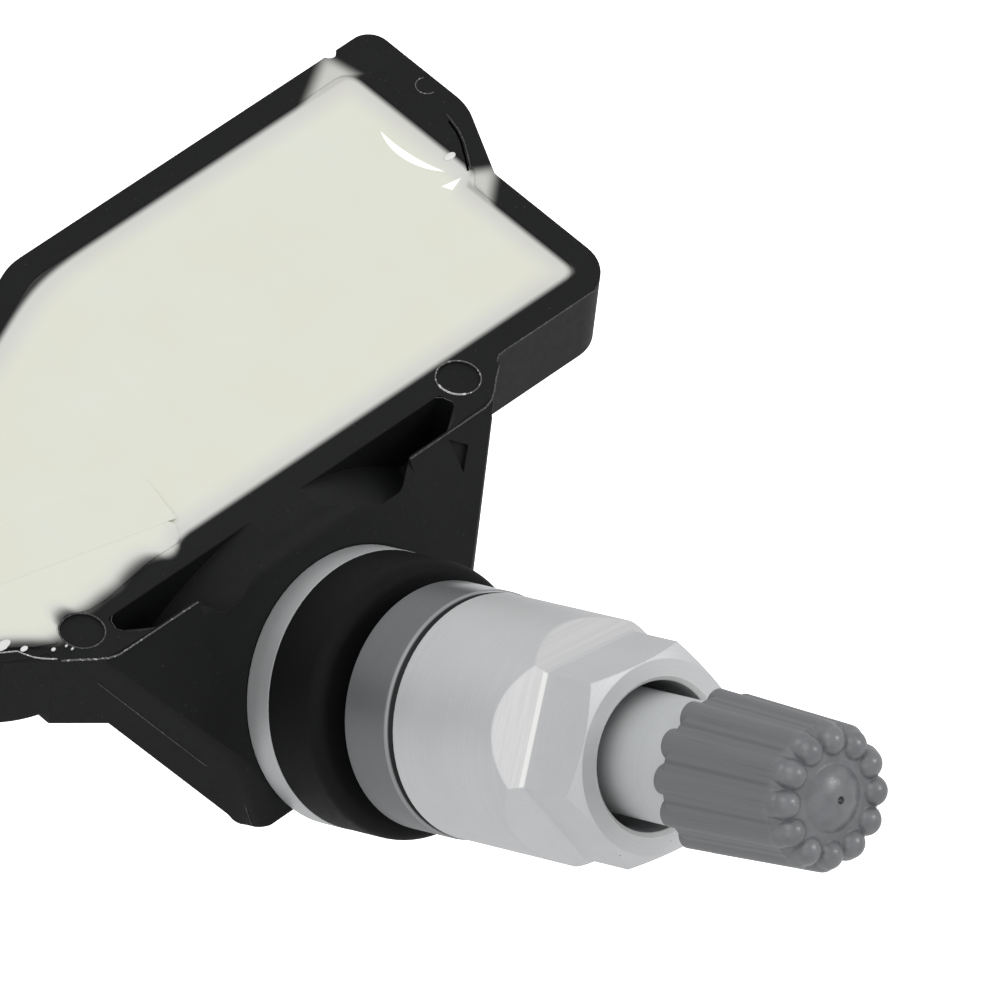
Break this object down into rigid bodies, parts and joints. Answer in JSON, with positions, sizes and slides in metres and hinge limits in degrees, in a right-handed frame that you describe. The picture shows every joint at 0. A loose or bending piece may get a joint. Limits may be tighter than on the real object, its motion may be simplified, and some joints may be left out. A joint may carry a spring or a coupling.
{
  "type": "tyre pressure sensor",
  "caption": "Wheel tyre pressure sensor: potted box with a neck plate that carries a clamp-in metal valve with grommet, washer, collar nut and dust cap.",
  "frame": {"origin": "where the valve's axis meets the inner face of the wheel rim, at the grommet's front face", "axes": "+X along the box, +Z out of the potted face; the valve points to -Y, 31 degrees up towards +Z"},
  "size_m": [0.0567, 0.0727, 0.0335],
  "materials": {
    "housing": "matte, glass-filled, fine speckle",
    "potting": "glossy cast resin",
    "aluminium": "turned, satin",
    "washer_metal": "dark satin coating",
    "rubber": "matte black",
    "cap_plastic": "soft grey moulding",
    "seal_rubber": "matte black",
    "brass": "turned",
    "steel": "zinc plated",
    "board": "green solder mask",
    "cell_steel": "pressed steel can",
    "nickel": "nickel strip",
    "package": "black moulded package",
    "ferrite": "sintered, dark grey",
    "copper": "enamelled copper wire",
    "ceramic": "fired ceramic"
  },
  "bodies": {
    "sensor": {"housing": "housing", "potting": "potting", "circuit_board": "board", "battery_cell": "cell_steel", "battery_tab_bottom": "nickel", "battery_tab_top": "nickel", "sensor_chip": "package", "port_seal": "seal_rubber", "wake_coil_core": "ferrite", "wake_coil_winding": "copper", "antenna_strip": "copper", "crystal": "cell_steel", "chip_capacitors": "ceramic", "valve_stem": "aluminium", "grommet": "rubber", "retaining_screw": "steel", "core_barrel": "brass", "core_gasket": "seal_rubber", "core_spring": "steel"},
    "washer": {"washer": "washer_metal"},
    "nut": {"nut": "aluminium"},
    "cap_seal": {"cap_seal": "seal_rubber"},
    "cap": {"cap": "cap_plastic"},
    "core_pin": {"core_pin": "brass", "core_cup": "seal_rubber"}
  },
  "joints": [
    {"name": "nut_travel", "type": "slide", "parent": "sensor", "child": "washer", "axis": [0, -0.8572, 0.515], "range_m": [0, 0.005]},
    {"name": "nut_turn", "type": "hinge", "parent": "washer", "child": "nut", "pos_m": [0, -0.01114, 0.0067], "axis": [0, -0.8572, 0.515], "range_deg": [0, 1800]},
    {"name": "cap_travel", "type": "slide", "parent": "sensor", "child": "cap_seal", "axis": [0, -0.8572, 0.515], "range_m": [0, 0.00476]},
    {"name": "cap_turn", "type": "hinge", "parent": "cap_seal", "child": "cap", "pos_m": [0, -0.02743, 0.01648], "axis": [0, -0.8572, 0.515], "range_deg": [0, 2160]},
    {"name": "core_press", "type": "slide", "parent": "sensor", "child": "core_pin", "axis": [0, 0.8572, -0.515], "range_m": [0, 0.001], "stiffness_N_per_m": 400, "springref_m": -0.001, "deforming": ["core_spring"]}
  ],
  "couplings": [
    {"joint": "nut_turn", "follows": "nut_travel", "rad_per_m": 6283.2},
    {"joint": "cap_turn", "follows": "cap_travel", "rad_per_m": 7913.3}
  ]
}
